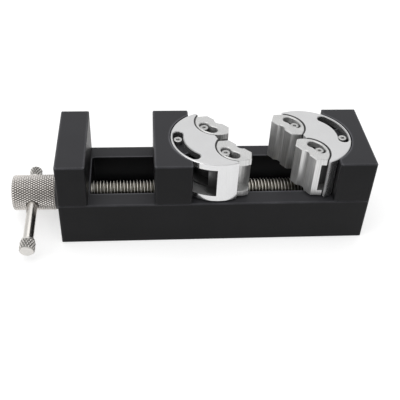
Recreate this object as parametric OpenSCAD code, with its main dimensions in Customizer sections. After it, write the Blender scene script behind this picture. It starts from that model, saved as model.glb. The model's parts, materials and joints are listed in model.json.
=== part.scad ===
// Self-adjusting jaw vise: two half-disc rotors, each with two swinging pads, on a screw-driven slide.
// The origin is the centre of the base's underside. X runs along the screw towards the fixed jaw, Z is up.

/* [Base] */
// Length of the base
base_l = 135; // [120:0.5:160]
// Width of the base and of the blocks on it
base_w = 42.5; // [40:0.5:52]
// Height of the base up to the rails
base_h = 21; // [19:0.5:26]
// Width of the channel between the rails
channel_w = 26.2; // [24:0.2:30]
// Thickness of the channel's floor
channel_floor = 5; // [4.4:0.1:5.6]
// Corner radius of the channel in plan
channel_r = 1.2; // [0.8:0.1:3]
// Wall at the knob end, which carries the screw
knob_wall = 13; // [11:0.5:16]
// Wall at the fixed jaw, which carries the screw's far end
far_wall = 15.5; // [13:0.5:18]
// Corner radius of all blocks in plan
corner_r = 1; // [0.5:0.1:2]
// Chamfer along the blocks' edges
edge_c = 0.4; // [0.2:0.1:0.8]

/* [Blocks] */
// Thickness of the end post
post_t = 12.5; // [11:0.5:16]
// Thickness of both jaw blocks
jaw_t = 16; // [14:0.5:20]
// Height of the blocks above the rails
block_h = 20.25; // [18:0.25:26]
// Gap between the end post and the moving jaw as it stands
jaw_gap = 28.5; // [10:0.5:32]

/* [Rotors] */
// Diameter of a rotor
rotor_d = 40.5; // [38:0.5:42]
// Distance of a rotor's axis in front of its jaw's face
rotor_offset = 11.5; // [10.5:0.1:13]
// Height of the rotors and pads above the rails
rotor_lift = 0.5; // [0.3:0.1:1]
// Thickness of the plates above and below the groove
plate_t = 3; // [2.4:0.1:4]
// Depth of the rotor's groove at its ends
groove_depth = 6.25; // [5.75:0.25:6.5]
// Half angle of the rotor's groove
groove_half = 64; // [62:1:70]
// Depth of the groove's deeper middle
relief_depth = 11; // [9:0.25:11.5]
// Half angle of the groove's deeper middle
relief_half = 50; // [40:1:52]
// Step by which the deeper middle is lower than the groove above and below
relief_step = 0.4; // [0.2:0.1:1]
// Half angle of the tongue in the jaw
tongue_half = 30; // [20:1:31]
// Swing of a rotor to each side
rotor_swing = 30; // [20:1:32]
// Rim left outside the arc slot of a rotor
rotor_rim = 1.1; // [0.8:0.1:1.3]
// Chamfer along the rotors' and pads' edges
disc_c = 0.35; // [0.2:0.05:0.5]

/* [Pads] */
// Diameter of a pad
pad_d = 19.4; // [18.5:0.1:20.2]
// Gap between neighbouring pads
pad_gap = 1; // [0.8:0.1:1.6]
// Distance of a pad's axis in front of its rotor's flat
pad_offset = 5.4; // [4.8:0.1:6]
// Distance of a pad's face in front of its axis
pad_face = 0.8; // [0.4:0.1:2]
// Width of a pad's face
pad_face_w = 12.6; // [11:0.2:15]
// Angle between a pad's end facets and its middle plane
facet_angle = 38; // [30:1:45]
// Radius of the scoop along the middle of a pad's face
scoop_r = 2.6; // [2:0.1:4]
// Depth of that scoop
scoop_depth = 1.2; // [0.6:0.1:1.4]
// Depth of the pad's groove
pad_groove_depth = 5.3; // [4.9:0.1:5.6]
// Half angle of the pad's groove
pad_groove_half = 81; // [78:1:86]
// Half angle of the tongue in the rotor
pad_tongue_half = 30; // [20:1:36]
// Swing of a pad to each side
pad_swing = 24; // [16:1:26]
// Rim left outside the arc slot of a pad
pad_rim = 1.1; // [0.8:0.1:1.3]

/* [Lead screw] */
// Outer diameter of the thread
thread_d = 10; // [9:0.5:11]
// Pitch of the thread
thread_pitch = 1.5; // [1:0.25:2]
// Height of the screw's axis
screw_z = 11.5; // [11:0.1:12.5]
// Diameter of the journal in the knob wall
journal_d = 8; // [7:0.1:8.1]
// Diameter of the far journal
far_journal_d = 7; // [6:0.1:8]
// Length of the far journal in its blind bore
far_journal_l = 8; // [5:0.5:10]
// Length of the journal inside the knob
knob_grip = 6.5; // [5:0.1:7]

/* [Knob and bar] */
// Diameter of the knob
knob_d = 16; // [14:0.5:18]
// Length of the knob
knob_l = 19; // [17:0.5:24]
// Chamfer on the knob's free end
knob_c = 1.3; // [0.5:0.1:2]
// Diameter of the thrust collar
collar_d = 15.6; // [12:0.2:16]
// Thickness of the thrust collar
collar_t = 2.9; // [2:0.1:4]
// Distance of the cross bar from the knob's inner end
bar_pos = 10.2; // [9.9:0.1:12]
// Diameter of the cross bar
bar_d = 4.6; // [4:0.1:5]
// Length of the cross bar with its caps
bar_l = 48; // [40:1:70]
// Tilt of the cross bar as it stands
bar_tilt = 8; // [0:1:12]
// Diameter of the cap on the bar's front end
front_cap_d = 6.8; // [6:0.1:8]
// Diameter of the cap on the bar's rear end
rear_cap_d = 5.7; // [5.3:0.1:8]
// Length of the caps on the bar
cap_l = 6; // [5:0.5:8]
// Diameter of the bar's spigots in its caps
spigot_d = 3.2; // [2.4:0.1:3.6]
// Length of the bar's spigots in its caps
spigot_l = 4; // [2:0.5:4.5]

/* [Keeper] */
// Width of the slot in the channel's floor
keeper_slot_w = 12; // [9:0.5:15]
// Width of the keeper plate
keeper_w = 21; // [17:0.5:24]
// Length of the keeper plate
keeper_l = 14; // [12:0.5:15.5]
// Thickness of the keeper plate
keeper_t = 2.2; // [1.8:0.1:2.4]
// Height of the keeper plate's underside above the ground
keeper_lift = 0.3; // [0.1:0.1:0.4]
// Distance between the keeper screws
keeper_pitch = 7; // [6:0.5:8]

/* [Fasteners] */
// Diameter of the block bolts
bolt_d = 6; // [5:0.5:6]
// Head diameter of the block bolts
bolt_head_d = 10; // [8.5:0.5:10]
// Head height of the block bolts
bolt_head_h = 6; // [5:0.5:6.5]
// Hex key of the block bolts
bolt_key = 5; // [4:0.5:5.5]
// Length of the block bolts under the head
bolt_l = 25; // [20:1:28]
// Distance between the two bolts of a block
bolt_pitch = 28; // [24:0.5:30]
// Distance of the block bolts from the base's ends
bolt_inset = 6.4; // [6:0.1:7]
// Diameter of the stop screws
stop_d = 2; // [1.6:0.1:2.2]
// Head diameter of the stop screws
stop_head_d = 3.8; // [3.2:0.1:4]
// Head height of the stop screws
stop_head_h = 2; // [1.4:0.1:2.6]
// Hex key of the stop screws
stop_key = 1.5; // [1.2:0.1:1.7]
// Length of the stop screws under the head
stop_l = 6; // [4:0.5:8]
// Diameter of the keeper screws
keeper_screw_d = 3; // [2.5:0.1:3]
// Head diameter of the keeper screws
keeper_head_d = 5.6; // [5:0.1:6]
// Length of the keeper screws
keeper_screw_l = 5.2; // [4.4:0.1:5.4]
// Hex key of the keeper screws
keeper_key = 2; // [1.5:0.1:2]
// Diameter of the knob's set screw
set_d = 4; // [3:0.1:4]
// Hex key of the knob's set screw
set_key = 2; // [1.5:0.1:2]

/* [Rest pose] */
// Swing of the moving rotor as it stands
moving_rotor_rest = 22.5; // [-20:0.5:28]
// Swing of the fixed rotor as it stands
fixed_rotor_rest = 21.5; // [-20:0.5:28]
// Swing of the moving pads as they stand
moving_pad_rest = 22; // [-15:0.5:23]
// Swing of the fixed pads as they stand
fixed_pad_rest = 13; // [-15:0.5:23]

/* [Fits] */
// Radial clearance of a rotor in its jaw and of a pad in its rotor
disc_fit = 0.3; // [0.1:0.05:0.35]
// Clearance between a tongue and the plates over and under it
plate_fit = 0.1; // [0.05:0.05:0.2]
// Clearance between a tongue's end and the bottom of its groove
tongue_gap = 0.3; // [0.2:0.05:0.5]
// Clearance on each side of a stop screw's head in its slot
slot_fit = 0.3; // [0.2:0.05:0.4]
// Radial clearance of the turning and sliding shafts
run_fit = 0.08; // [0.03:0.01:0.1]
// Radial clearance of a fastener or spigot in its hole
hole_fit = 0.05; // [0.03:0.01:0.1]
// Clearance on each side of the keel in the channel
keel_fit = 0.15; // [0.1:0.05:0.3]
// Clearance between flat sliding faces
slide_fit = 0.05; // [0.03:0.01:0.1]
// Clearance of a screw's tip in its blind hole and of parted faces
tip_gap = 0.5; // [0.3:0.1:1]

/* [Hidden] */
$fn = 96;

// Colours
black = "#2b2b2d";
silver = "#c9cacb";
steel = "#a19c8e";
nickel = "#b9b3aa";
dark_steel = "#3a3a3c";

// Overlap of a cut past the face that it opens
over = 1;
// Depth to which a tongue bites into the wall behind it
bite = 0.4;

// Places along X
left_end = -base_l / 2;
right_end = base_l / 2;
post_face = left_end + post_t;
fixed_face = right_end - jaw_t;
moving_back = post_face + jaw_gap;
moving_face = moving_back + jaw_t;
moving_mid = moving_back + jaw_t / 2;
moving_axis = moving_face + rotor_offset;
fixed_axis = fixed_face - rotor_offset;
channel_x0 = left_end + knob_wall;
channel_x1 = right_end - far_wall;

// Heights
top_z = base_h + block_h;
disc_z0 = base_h + rotor_lift;
groove_z0 = disc_z0 + plate_t;
groove_z1 = top_z - plate_t;
tongue_z0 = groove_z0 + plate_fit;
tongue_z1 = groove_z1 - plate_fit;
keeper_z1 = keeper_lift + keeper_t;
recess_h = keeper_z1 + slide_fit;
keel_z0 = channel_floor + 2 * keel_fit;

// Rotor and pad radii
rotor_r = rotor_d / 2;
groove_r = rotor_r - groove_depth;
relief_r = rotor_r - relief_depth;
slot_w = stop_head_d + 2 * slot_fit;
rotor_stop_r = rotor_r - rotor_rim - slot_w / 2;
pad_r = pad_d / 2;
pad_groove_r = pad_r - pad_groove_depth;
pad_stop_r = pad_r - pad_rim - slot_w / 2;
pad_side = (pad_d + pad_gap) / 2;
// A pad's rim is chamfered a little less than its facets, so that they meet in a clean corner
pad_rim_c = 0.8 * disc_c;

// Lead screw
thread_r = thread_d / 2;
// Depth and axial shares of a metric thread form, per pitch
thread_depth = 0.6134;
flank = 0.354;
crest = 0.125;
thread_x0 = channel_x0 + tip_gap / 2;
thread_x1 = channel_x1 - tip_gap / 2;
thread_turns = floor((thread_x1 - thread_x0) / thread_pitch);
journal_r = journal_d / 2;
collar_x1 = left_end - 2 * slide_fit;
knob_x1 = collar_x1 - collar_t;
knob_x0 = knob_x1 - knob_l;
knob_r = knob_d / 2;
bar_x = knob_x1 - bar_pos;

// Cross bar along its own Y: the rear cap stands against the knob
rear_inner = knob_r + tip_gap / 2;
rear_end = rear_inner + cap_l;
front_end = rear_end - bar_l;
front_inner = front_end + cap_l;
bar_edge_c = 0.3;
cap_edge_c = 0.8;

// Block bolts
post_bolt_x = left_end + bolt_inset;
jaw_bolt_x = right_end - bolt_inset;
bolt_seat = bolt_head_h + tip_gap;
head_fit = 0.3;
// Chamfer of a screw head's rim, as a share of the head's height
head_edge = 0.08;

// Rectangle about the origin with round corners
module rounded_rect(l, w, r) {
  square([l - 2 * r, w], center = true);
  square([l, w - 2 * r], center = true);
  for (x = [-1, 1], y = [-1, 1])
    translate([x * (l / 2 - r), y * (w / 2 - r)]) circle(r);
}

// Rectangle from the origin up with its four corners cut
module cut_rect(l, h, c) {
  polygon([
    [-l / 2 + c, 0], [l / 2 - c, 0], [l / 2, c], [l / 2, h - c],
    [l / 2 - c, h], [-l / 2 + c, h], [-l / 2, h - c], [-l / 2, c]
  ]);
}

// Block that stands on the origin, round at its upright edges and chamfered at the others
module block(l, w, h) {
  intersection() {
    linear_extrude(h) rounded_rect(l, w, corner_r);
    rotate([90, 0, 0]) translate([0, 0, -w]) linear_extrude(2 * w) cut_rect(l, h, edge_c);
    rotate([90, 0, 90]) translate([0, 0, -l]) linear_extrude(2 * l) cut_rect(w, h, edge_c);
  }
}

// Full disc about Z with both rims chamfered
module disc(r, z0, z1, c) {
  rotate_extrude() polygon([
    [0, z0], [r - c, z0], [r, z0 + c], [r, z1 - c], [r - c, z1], [0, z1]
  ]);
}

// Sector of a ring about Z, centred on the -X direction
module ring_sector(r0, r1, half, z0, z1) {
  rotate([0, 0, 180 - half]) rotate_extrude(angle = 2 * half)
    translate([r0, z0]) square([r1 - r0, z1 - z0]);
}

// Round-ended slot along an arc about Z, centred on the -X direction
module arc_slot(r, w, half, z0, z1) {
  ring_sector(r - w / 2, r + w / 2, half, z0, z1);
  for (a = [180 - half, 180 + half])
    rotate([0, 0, a]) translate([r, 0, z0]) cylinder(h = z1 - z0, d = w);
}

// Chamfer of depth c round both mouths of an upright hole of radius r
module mouth_cut(r, c) {
  translate([0, 0, top_z - c]) cylinder(h = c + over, r1 = r, r2 = r + c + over);
  translate([0, 0, disc_z0 - over]) cylinder(h = c + over, r1 = r + c + over, r2 = r);
}

// All that lies behind an upright face through Z that looks along +X, chamfered at its level edges
module behind_face(c) {
  rotate([90, 0, 0]) translate([0, 0, -rotor_d]) linear_extrude(2 * rotor_d) polygon([
    [-rotor_d, disc_z0], [-c, disc_z0], [0, disc_z0 + c],
    [0, top_z - c], [-c, top_z], [-rotor_d, top_z]
  ]);
}

// Chamfer of depth c round the upper mouth of an arc slot
module slot_cut(r, w, half, c) {
  rotate([0, 0, 180 - half]) rotate_extrude(angle = 2 * half) polygon([
    [r - w / 2, top_z - c], [r + w / 2, top_z - c],
    [r + w / 2 + c + over, top_z + over], [r - w / 2 - c - over, top_z + over]
  ]);
  for (a = [180 - half, 180 + half])
    rotate([0, 0, a]) translate([r, 0, top_z - c])
      cylinder(h = c + over, r1 = w / 2, r2 = w / 2 + c + over);
}

// Cylinder along +X from x0 to x1
module rod_x(r, x0, x1) {
  translate([x0, 0, 0]) rotate([0, 90, 0]) cylinder(h = x1 - x0, r = r);
}

// Cylinder along +Y from y0 to y1
module rod_y(r, y0, y1) {
  translate([0, y0, 0]) rotate([-90, 0, 0]) cylinder(h = y1 - y0, r = r);
}

// Hexagon prism from z0 to z1 across flats
module hex_socket(key, z0, z1) {
  translate([0, 0, z0]) cylinder(h = z1 - z0, d = key / cos(30), $fn = 6);
}

// Socket cap screw with its head standing on the origin and its shank below
module cap_screw(d, head_d, head_h, key, l) {
  difference() {
    union() {
      disc(head_d / 2, 0, head_h, head_edge * head_h);
      translate([0, 0, -l]) cylinder(h = l + head_h / 2, d = d);
    }
    hex_socket(key, head_h / 2, head_h + over);
  }
}

// Places a rotor and what rides on it: axis at x, facing +X or -X, swung by angle
module on_axis(x, facing, angle) {
  translate([x, 0, 0]) rotate([0, 0, facing + angle]) children();
}

// Places a pad in its rotor's frame; side is 1 or -1 along the rotor's flat
module on_pad(side, angle) {
  translate([pad_offset, side * pad_side, 0]) rotate([0, 0, angle]) children();
}

// Stop screw on a tongue, at radius r behind an axis
module stop_screw(r) {
  translate([-r, 0, tongue_z1]) cap_screw(stop_d, stop_head_d, stop_head_h, stop_key, stop_l);
}

// Hole for a stop screw
module stop_hole(r) {
  translate([-r, 0, tongue_z1 - stop_l - tip_gap])
    cylinder(h = stop_l + tip_gap + over, d = stop_d + 2 * hole_fit);
}

// Half disc with its groove, arc slot, pad pockets and pad tongues, facing +X about Z
module rotor() {
  pocket_r = pad_r + disc_fit;
  difference() {
    union() {
      difference() {
        intersection() {
          disc(rotor_r, disc_z0, top_z, disc_c);
          behind_face(disc_c);
        }
        for (side = [-1, 1])
          on_pad(side, 0) {
            translate([0, 0, disc_z0 - over]) cylinder(h = top_z - disc_z0 + 2 * over, r = pocket_r);
            mouth_cut(pocket_r, disc_c);
          }
      }
      for (side = [-1, 1])
        on_pad(side, 0)
          ring_sector(pad_groove_r + tongue_gap, pocket_r + bite, pad_tongue_half, tongue_z0, tongue_z1);
    }
    ring_sector(groove_r, rotor_r + over, groove_half, groove_z0, groove_z1);
    ring_sector(
      relief_r, groove_r + over, relief_half, groove_z0 + relief_step, groove_z1 - relief_step
    );
    arc_slot(rotor_stop_r, slot_w, rotor_swing, groove_z1 - over, top_z + over);
    slot_cut(rotor_stop_r, slot_w, rotor_swing, disc_c);
    for (side = [-1, 1])
      on_pad(side, 0) stop_hole(pad_stop_r);
  }
}

// All that lies behind one of a pad's end facets; side is 1 or -1
module behind_facet(side) {
  translate([pad_face, side * pad_face_w / 2, 0]) rotate([0, 0, side * (90 - facet_angle)])
    behind_face(disc_c);
}

// Pad with its groove, arc slot and scooped face, facing +X about Z
module pad() {
  difference() {
    intersection() {
      disc(pad_r, disc_z0, top_z, pad_rim_c);
      translate([pad_face, 0, 0]) behind_face(disc_c);
      behind_facet(-1);
      behind_facet(1);
    }
    translate([pad_face - scoop_depth + scoop_r, 0, 0]) {
      translate([0, 0, disc_z0 - over]) cylinder(h = top_z - disc_z0 + 2 * over, r = scoop_r);
      mouth_cut(scoop_r, disc_c);
    }
    ring_sector(pad_groove_r, pad_r + over, pad_groove_half, groove_z0, groove_z1);
    arc_slot(pad_stop_r, slot_w, pad_swing, groove_z1 - over, top_z + over);
    slot_cut(pad_stop_r, slot_w, pad_swing, disc_c);
  }
}

// Jaw block about the rotor's axis, facing +X, with its pocket and tongue; z0 is its underside
module jaw_block(z0) {
  pocket_r = rotor_r + disc_fit;
  difference() {
    union() {
      difference() {
        translate([-rotor_offset - jaw_t / 2, 0, z0]) block(jaw_t, base_w, top_z - z0);
        translate([0, 0, z0 - over]) cylinder(h = top_z - z0 + 2 * over, r = pocket_r);
      }
      ring_sector(groove_r + tongue_gap, pocket_r + bite, tongue_half, tongue_z0, tongue_z1);
    }
    stop_hole(rotor_stop_r);
  }
}

// The pair of block bolts at x, heads down in the base
module bolt_pair(x) {
  for (side = [-1, 1])
    translate([x, side * bolt_pitch / 2, bolt_seat]) mirror([0, 0, 1])
      cap_screw(bolt_d, bolt_head_d, bolt_head_h, bolt_key, bolt_l);
}

// The blind holes for a pair of block bolts at x
module bolt_holes(x) {
  for (side = [-1, 1])
    translate([x, side * bolt_pitch / 2, bolt_seat])
      cylinder(h = bolt_l + tip_gap, d = bolt_d + 2 * hole_fit);
}

module base() {
  channel_l = channel_x1 - channel_x0;
  channel_mid = (channel_x0 + channel_x1) / 2;
  color(black) difference() {
    block(base_l, base_w, base_h);
    translate([channel_mid, 0, channel_floor])
      linear_extrude(base_h) rounded_rect(channel_l, channel_w, channel_r);
    translate([channel_mid, 0, -over])
      linear_extrude(base_h) rounded_rect(channel_l, keeper_slot_w, channel_r);
    translate([channel_mid, 0, -over])
      linear_extrude(over + recess_h) rounded_rect(channel_l, keeper_w + 2 * keel_fit, channel_r);
    translate([0, 0, screw_z]) {
      rod_x(journal_r + run_fit, left_end - over, channel_x0 + over);
      rod_x(far_journal_d / 2 + run_fit, channel_x1 - over, thread_x1 + far_journal_l + tip_gap);
    }
    for (x = [post_bolt_x, jaw_bolt_x]) {
      bolt_holes(x);
      for (side = [-1, 1])
        translate([x, side * bolt_pitch / 2, -over])
          cylinder(h = bolt_seat + over, d = bolt_head_d + 2 * head_fit);
    }
  }
}

module end_post() {
  color(black) difference() {
    translate([left_end + post_t / 2, 0, base_h]) block(post_t, base_w, block_h);
    bolt_holes(post_bolt_x);
  }
}

module end_post_bolts() {
  color(dark_steel) bolt_pair(post_bolt_x);
}

module fixed_jaw() {
  color(black) difference() {
    on_axis(fixed_axis, 180, 0) jaw_block(base_h);
    bolt_holes(jaw_bolt_x);
  }
}

module fixed_jaw_bolts() {
  color(dark_steel) bolt_pair(jaw_bolt_x);
}

module fixed_rotor_stop() {
  color(steel) on_axis(fixed_axis, 180, 0) stop_screw(rotor_stop_r);
}

module fixed_rotor() {
  color(silver) on_axis(fixed_axis, 180, fixed_rotor_rest) rotor();
}

module fixed_pad_stops() {
  color(steel) on_axis(fixed_axis, 180, fixed_rotor_rest)
    for (side = [-1, 1])
      on_pad(side, 0) stop_screw(pad_stop_r);
}

module fixed_pad(side) {
  color(silver) on_axis(fixed_axis, 180, fixed_rotor_rest) on_pad(side, fixed_pad_rest) pad();
}

module fixed_pad_back() {
  fixed_pad(-1);
}

module fixed_pad_front() {
  fixed_pad(1);
}

// Sliding jaw: block on the rails, keel with the thread in the channel, foot down to the keeper
module moving_jaw() {
  keel_l = jaw_t - 2 * tip_gap;
  keel_w = channel_w - 2 * keel_fit;
  foot_w = keeper_slot_w - 2 * keel_fit;
  color(black) difference() {
    union() {
      on_axis(moving_axis, 0, 0) jaw_block(base_h + slide_fit);
      translate([moving_mid, 0, keel_z0])
        linear_extrude(base_h + plate_t - keel_z0) intersection() {
          rounded_rect(keel_l, keel_w, channel_r);
          translate([moving_axis - moving_mid, 0]) difference() {
            square(4 * rotor_d, center = true);
            circle(rotor_r + disc_fit);
          }
        }
      translate([moving_mid, 0, keel_z0])
        linear_extrude(base_h - slide_fit - keel_z0) rounded_rect(keel_l, keel_w, channel_r);
      translate([moving_mid, 0, keeper_z1])
        linear_extrude(keel_z0 + over - keeper_z1) rounded_rect(keeper_l, foot_w, corner_r);
    }
    translate([0, 0, screw_z]) rod_x(thread_r + run_fit, moving_back - over, moving_face + over);
    for (side = [-1, 1])
      translate([moving_mid + side * keeper_pitch / 2, 0, keeper_z1 - over])
        cylinder(
          h = keeper_lift + keeper_screw_l - keeper_z1 + over + tip_gap / 2,
          d = keeper_screw_d + 2 * hole_fit
        );
  }
}

// Cone of a countersunk head standing head-down on the origin
module countersink(d, head_d, extra) {
  cone_h = (head_d - d) / 2;
  rotate_extrude() polygon([
    [0, 0], [head_d / 2 + extra, 0], [d / 2 + extra, cone_h], [0, cone_h]
  ]);
}

module keeper_plate() {
  color(dark_steel) translate([moving_mid, 0, keeper_lift]) difference() {
    linear_extrude(keeper_t) rounded_rect(keeper_l, keeper_w, corner_r);
    for (side = [-1, 1])
      translate([side * keeper_pitch / 2, 0, 0]) {
        countersink(keeper_screw_d, keeper_head_d, hole_fit);
        translate([0, 0, -over]) cylinder(h = keeper_t + 2 * over, d = keeper_screw_d + 2 * hole_fit);
      }
  }
}

module keeper_screws() {
  color(steel) for (side = [-1, 1])
    translate([moving_mid + side * keeper_pitch / 2, 0, keeper_lift]) difference() {
      union() {
        countersink(keeper_screw_d, keeper_head_d, 0);
        cylinder(h = keeper_screw_l, d = keeper_screw_d);
      }
      hex_socket(keeper_key, -over, keeper_t / 2);
    }
}

module moving_rotor_stop() {
  color(steel) on_axis(moving_axis, 0, 0) stop_screw(rotor_stop_r);
}

module moving_rotor() {
  color(silver) on_axis(moving_axis, 0, moving_rotor_rest) rotor();
}

module moving_pad_stops() {
  color(steel) on_axis(moving_axis, 0, moving_rotor_rest)
    for (side = [-1, 1])
      on_pad(side, 0) stop_screw(pad_stop_r);
}

module moving_pad(side) {
  color(silver) on_axis(moving_axis, 0, moving_rotor_rest) on_pad(side, moving_pad_rest) pad();
}

module moving_pad_back() {
  moving_pad(1);
}

module moving_pad_front() {
  moving_pad(-1);
}

// Screw with its thread cut as one groove per pitch, between the two plain journals
module lead_screw() {
  p = thread_pitch;
  root_r = thread_r - thread_depth * p;
  ridge = [[root_r, 0], [thread_r, flank], [thread_r, flank + crest], [root_r, 2 * flank + crest]];
  ridges = [
    for (turn = [0:thread_turns - 1], corner = ridge)
      [corner[0], thread_x0 + (turn + corner[1]) * p]
  ];
  journal_x0 = knob_x1 - knob_grip;
  far_x1 = thread_x1 + far_journal_l;
  color(steel) translate([0, 0, screw_z]) rotate([0, 90, 0]) rotate_extrude() polygon(concat(
    [[0, journal_x0], [journal_r, journal_x0], [journal_r, thread_x0]],
    ridges,
    [[root_r, thread_x1], [far_journal_d / 2, thread_x1], [far_journal_d / 2, far_x1], [0, far_x1]]
  ));
}

module thrust_collar() {
  color(dark_steel) translate([0, 0, screw_z]) difference() {
    rod_x(collar_d / 2, knob_x1, collar_x1);
    rod_x(journal_r + hole_fit, knob_x1 - over, collar_x1 + over);
  }
}

// Places a piece of the cross bar: its own Y runs along the bar
module on_bar() {
  translate([bar_x, 0, screw_z]) rotate([bar_tilt, 0, 0]) children();
}

// Places the knob's set screw: its own Z points out of the knob, at the back
module on_set_screw() {
  translate([knob_x1 - knob_grip / 2, 0, screw_z]) rotate([-90, 0, 0]) children();
}

module knob() {
  color(nickel) difference() {
    translate([knob_x0, 0, screw_z]) rotate([0, 90, 0]) rotate_extrude() polygon([
      [0, 0], [knob_r - knob_c, 0], [knob_r, knob_c],
      [knob_r, knob_l - edge_c], [knob_r - edge_c, knob_l], [0, knob_l]
    ]);
    translate([0, 0, screw_z])
      rod_x(journal_r + hole_fit, knob_x1 - knob_grip - tip_gap / 2, knob_x1 + over);
    on_bar() rod_y(bar_d / 2 + run_fit, -knob_d, knob_d);
    on_set_screw() cylinder(h = knob_d, d = set_d + 2 * hole_fit);
  }
}

module knob_set_screw() {
  set_z0 = journal_r + slide_fit;
  set_z1 = knob_r - tip_gap;
  color(dark_steel) on_set_screw() difference() {
    translate([0, 0, set_z0]) cylinder(h = set_z1 - set_z0, d = set_d);
    hex_socket(set_key, (set_z0 + set_z1) / 2, set_z1 + over);
  }
}

module tommy_bar() {
  color(nickel) on_bar() {
    rod_y(bar_d / 2, front_inner, rear_inner);
    rod_y(spigot_d / 2, front_inner - spigot_l, rear_inner + spigot_l);
  }
}

// Cap of diameter d with its open end on the origin and its closed end along +Z
module bar_cap(d) {
  r = d / 2;
  difference() {
    rotate_extrude() polygon([
      [0, 0], [r - bar_edge_c, 0], [r, bar_edge_c],
      [r, cap_l - cap_edge_c], [r - cap_edge_c, cap_l], [0, cap_l]
    ]);
    translate([0, 0, -over]) cylinder(h = over + spigot_l + tip_gap / 2, d = spigot_d + 2 * hole_fit);
  }
}

module bar_cap_front() {
  color(nickel) on_bar() translate([0, front_inner, 0]) rotate([90, 0, 0]) bar_cap(front_cap_d);
}

module bar_cap_rear() {
  color(nickel) on_bar() translate([0, rear_inner, 0]) rotate([-90, 0, 0]) bar_cap(rear_cap_d);
}

base();
end_post();
end_post_bolts();
fixed_jaw();
fixed_jaw_bolts();
fixed_rotor_stop();
fixed_rotor();
fixed_pad_stops();
fixed_pad_back();
fixed_pad_front();
moving_jaw();
keeper_plate();
keeper_screws();
moving_rotor_stop();
moving_rotor();
moving_pad_stops();
moving_pad_back();
moving_pad_front();
lead_screw();
thrust_collar();
knob();
knob_set_screw();
tommy_bar();
bar_cap_front();
bar_cap_rear();
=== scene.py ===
"""Looks of a small flat vise whose half-disc jaws swing to fit the work.

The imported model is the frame. X runs along the lead screw towards the fixed jaw, Y to the back
and Z up, with the origin in the middle of the base's underside. Sizes are in millimetres, as on
a drawing, and become metres where a mesh is made.
"""

import json
import logging
import math
from dataclasses import dataclass, replace
from enum import Enum
from typing import Any, Sequence

import bmesh
import bpy
import numpy as np
from bpy.types import Material, Mesh, Node, NodeOutputs, NodeSocket, NodeTree, Object
from mathutils import Matrix, Vector


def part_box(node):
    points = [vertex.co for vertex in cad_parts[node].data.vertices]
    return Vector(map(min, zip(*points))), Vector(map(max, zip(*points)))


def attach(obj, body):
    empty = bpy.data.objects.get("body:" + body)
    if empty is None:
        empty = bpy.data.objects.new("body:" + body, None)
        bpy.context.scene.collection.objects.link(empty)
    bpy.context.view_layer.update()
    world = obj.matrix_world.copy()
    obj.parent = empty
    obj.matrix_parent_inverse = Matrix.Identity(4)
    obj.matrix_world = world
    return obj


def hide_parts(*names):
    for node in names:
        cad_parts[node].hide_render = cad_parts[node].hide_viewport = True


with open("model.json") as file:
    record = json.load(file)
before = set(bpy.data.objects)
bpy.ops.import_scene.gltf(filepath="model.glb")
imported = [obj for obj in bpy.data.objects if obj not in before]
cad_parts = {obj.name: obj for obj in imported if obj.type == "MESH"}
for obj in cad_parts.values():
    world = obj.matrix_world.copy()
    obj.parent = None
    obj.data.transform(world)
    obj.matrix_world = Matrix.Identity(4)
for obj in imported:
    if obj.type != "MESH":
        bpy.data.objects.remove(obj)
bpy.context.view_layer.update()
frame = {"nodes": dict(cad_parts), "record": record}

MM = 0.001
FULL_TURN = 2.0 * math.pi
RELIEF = "relief"

# Points nearer than this are merged, and edges shorter than this are dissolved
MERGE_MM = 0.001
SLIVER_MM = 0.0001
# Lengths nearer than this count as the same
SAME_MM = 1e-6
# Edges that turn by more than this stay sharp
SHARP_DEG = 32.0
# Points round a turned piece that has no count of its own
ROUND_COLUMNS = 96
# Points on each rounded corner of a plain profile
CORNER_STEPS = 5

Span = tuple[float, float]
Point = tuple[float, float, float]
Colour = tuple[float, float, float, float]
Corner = tuple[float, float, float]

WHITE: Colour = (1.0, 1.0, 1.0, 1.0)

log = logging.getLogger("vise")


class Body(Enum):
    """The bodies that new pieces ride on."""

    BASE = "base"
    SCREW = "screw"
    BAR = "tommy_bar"
    MOVING_JAW = "moving_jaw"
    MOVING_ROTOR = "moving_rotor"
    FIXED_ROTOR = "fixed_rotor"


class Slot(Enum):
    """Names of the record's material slots; the new pieces here take their materials directly."""

    STEEL = "steel"
    NICKEL = "nickel"
    DARK = "dark_steel"


class Socket(Enum):
    """The types of a node group's inputs and outputs."""

    FLOAT = "NodeSocketFloat"
    VECTOR = "NodeSocketVector"


class HeadForm(Enum):
    """The forms of a socket screw's head."""

    CYLINDER = "cylinder"
    COUNTERSUNK = "countersunk"


# Meshes


@dataclass(frozen=True)
class Axle:
    """A straight axis: a point on it in millimetres, its direction and the direction of angle 0."""

    point: Point
    along: Point
    zero: Point

    def place(self, station: np.ndarray, radius: np.ndarray, angle: np.ndarray) -> np.ndarray:
        """Turn cylinder coordinates into points.

        point = origin + station * along + radius * (cos(angle) * zero + sin(angle) * side),
        where side is square to the other two.

        Args:
            station: Distance along the axis.
            radius: Distance from the axis.
            angle: Angle about the axis, right-handed.

        Returns:
            The points, with x, y and z on the last axis.
        """
        along = np.array(self.along)
        zero = np.array(self.zero)
        side = np.cross(along, zero)
        spoke = np.cos(angle)[..., None] * zero + np.sin(angle)[..., None] * side
        return np.array(self.point) + station[..., None] * along + radius[..., None] * spoke


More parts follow.
